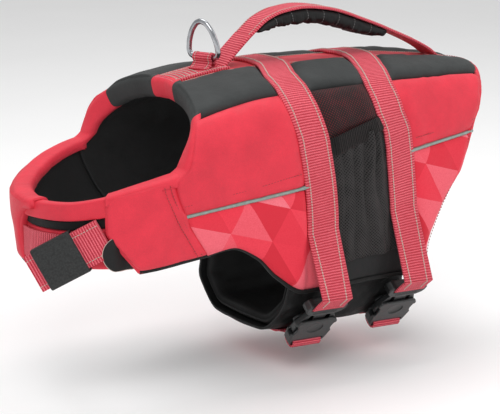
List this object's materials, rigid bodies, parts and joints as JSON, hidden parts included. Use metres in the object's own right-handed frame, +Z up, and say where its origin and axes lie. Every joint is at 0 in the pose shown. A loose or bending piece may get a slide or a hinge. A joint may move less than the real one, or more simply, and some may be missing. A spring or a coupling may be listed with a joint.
{
  "type": "dog life jacket",
  "caption": "Padded dog flotation jacket with a carry handle, lead ring, webbing straps and side-release buckles, open at the neck, legs and tail.",
  "frame": {"origin": "centre of the bounding box in plan, at its lowest point", "axes": "+X to the tail, -Y to the buckle side (the dog's left), +Z up"},
  "size_m": [0.542, 0.228, 0.3336],
  "materials": {
    "red_cover": "woven coated polyester, slight sheen",
    "printed_cover": "woven polyester with a faceted tone-on-tone print",
    "charcoal_cover": "woven coated polyester, matte",
    "black_cloth": "woven lining cloth, matte",
    "pocket_mesh": "open knitted mesh",
    "buoyancy_foam": "closed-cell foam sheet",
    "webbing": "ribbed flat webbing with two reflective stitch rows",
    "reflective_piping": "reflective grey-green piping",
    "buckle_plastic": "satin moulded plastic",
    "grip_patch": "grained soft plastic",
    "ring_metal": "dark polished metal"
  },
  "bodies": {
    "shell": {"back_cover": "charcoal_cover", "back_foam": "buoyancy_foam", "belly_cover": "black_cloth", "belly_foam": "buoyancy_foam", "chest_band": "black_cloth", "chest_pad": "red_cover", "chest_tab": "black_cloth", "collar_strip": "red_cover", "front_belly_webbing": "webbing", "front_buckle_socket": "buckle_plastic", "front_foam_left": "buoyancy_foam", "front_foam_right": "buoyancy_foam", "front_lower_cover_left": "printed_cover", "front_lower_cover_right": "printed_cover", "front_piping_left": "reflective_piping", "front_piping_right": "reflective_piping", "front_strap": "webbing", "front_upper_cover_left": "red_cover", "front_upper_cover_right": "red_cover", "leg_binding_left": "black_cloth", "leg_binding_right": "black_cloth", "lining": "black_cloth", "mesh_pocket_left": "pocket_mesh", "mesh_pocket_right": "pocket_mesh", "neck_binding": "red_cover", "neck_strap": "webbing", "pocket_elastic_left": "black_cloth", "pocket_elastic_right": "black_cloth", "rear_belly_webbing": "webbing", "rear_binding": "red_cover", "rear_buckle_socket": "buckle_plastic", "rear_foam_left": "buoyancy_foam", "rear_foam_right": "buoyancy_foam", "rear_lower_cover_left": "printed_cover", "rear_lower_cover_right": "printed_cover", "rear_piping_left": "reflective_piping", "rear_piping_right": "reflective_piping", "rear_strap": "webbing", "rear_upper_cover_left": "red_cover", "rear_upper_cover_right": "red_cover", "ring_loop": "webbing", "shoulder_cover_left": "red_cover", "shoulder_cover_right": "red_cover", "shoulder_foam_left": "buoyancy_foam", "shoulder_foam_right": "buoyancy_foam", "spine_strip": "red_cover", "spine_webbing": "webbing"},
    "handle": {"handle_strap": "red_cover", "handle_grip": "black_cloth"},
    "lead_ring": {"lead_ring": "ring_metal"},
    "front_plug": {"front_buckle_plug": "buckle_plastic", "front_strap_tail": "webbing"},
    "front_prong_a": {"front_buckle_prong_a": "buckle_plastic"},
    "front_prong_b": {"front_buckle_prong_b": "buckle_plastic"},
    "rear_plug": {"rear_buckle_plug": "buckle_plastic", "rear_strap_tail": "webbing"},
    "rear_prong_a": {"rear_buckle_prong_a": "buckle_plastic"},
    "rear_prong_b": {"rear_buckle_prong_b": "buckle_plastic"},
    "neck_tail": {"neck_tail": "webbing"},
    "tail_keeper": {"tail_keeper": "grip_patch"}
  },
  "joints": [
    {"name": "handle_swing", "type": "hinge", "parent": "shell", "child": "handle", "pos_m": [-0.04217, 0.0027, 0.2801], "axis": [0.9995, 0, -0.0323], "range_deg": [-35, 35]},
    {"name": "ring_pivot", "type": "hinge", "parent": "shell", "child": "lead_ring", "pos_m": [-0.05463, 0.0027, 0.28911], "axis": [-0.3894, 0.9211, 0], "range_deg": [-65, 8]},
    {"name": "tail_swing", "type": "hinge", "parent": "shell", "child": "neck_tail", "pos_m": [-0.21117, -0.08093, 0.14475], "axis": [-0.3757, 0.3059, 0.8748], "range_deg": [0, 40]},
    {"name": "keeper_slide", "type": "slide", "parent": "neck_tail", "child": "tail_keeper", "axis": [-0.6783, 0.5524, -0.4845], "range_m": [-0.018, 0.008]},
    {"name": "front_release", "type": "slide", "parent": "shell", "child": "front_plug", "axis": [0.05, -0.6399, 0.7669], "range_m": [0, 0.035]},
    {"name": "front_prong_a_squeeze", "type": "hinge", "parent": "front_plug", "child": "front_prong_a", "pos_m": [0.00865, -0.09316, 0.04151], "axis": [0, -0.7678, -0.6407], "range_deg": [0, 5], "stiffness_Nm_per_rad": 0.5},
    {"name": "front_prong_b_squeeze", "type": "hinge", "parent": "front_plug", "child": "front_prong_b", "pos_m": [0.03502, -0.09232, 0.04049], "axis": [0, 0.7678, 0.6407], "range_deg": [0, 5]},
    {"name": "rear_release", "type": "slide", "parent": "shell", "child": "rear_plug", "axis": [0.05, -0.6399, 0.7669], "range_m": [0, 0.035]},
    {"name": "rear_prong_a_squeeze", "type": "hinge", "parent": "rear_plug", "child": "rear_prong_a", "pos_m": [0.11571, -0.08173, 0.04151], "axis": [0, -0.7678, -0.6407], "range_deg": [0, 5], "stiffness_Nm_per_rad": 0.5},
    {"name": "rear_prong_b_squeeze", "type": "hinge", "parent": "rear_plug", "child": "rear_prong_b", "pos_m": [0.14208, -0.08088, 0.04049], "axis": [0, 0.7678, 0.6407], "range_deg": [0, 5]}
  ],
  "couplings": [
    {"joint": "front_prong_b_squeeze", "follows": "front_prong_a_squeeze", "ratio": 1},
    {"joint": "rear_prong_b_squeeze", "follows": "rear_prong_a_squeeze", "ratio": 1}
  ]
}
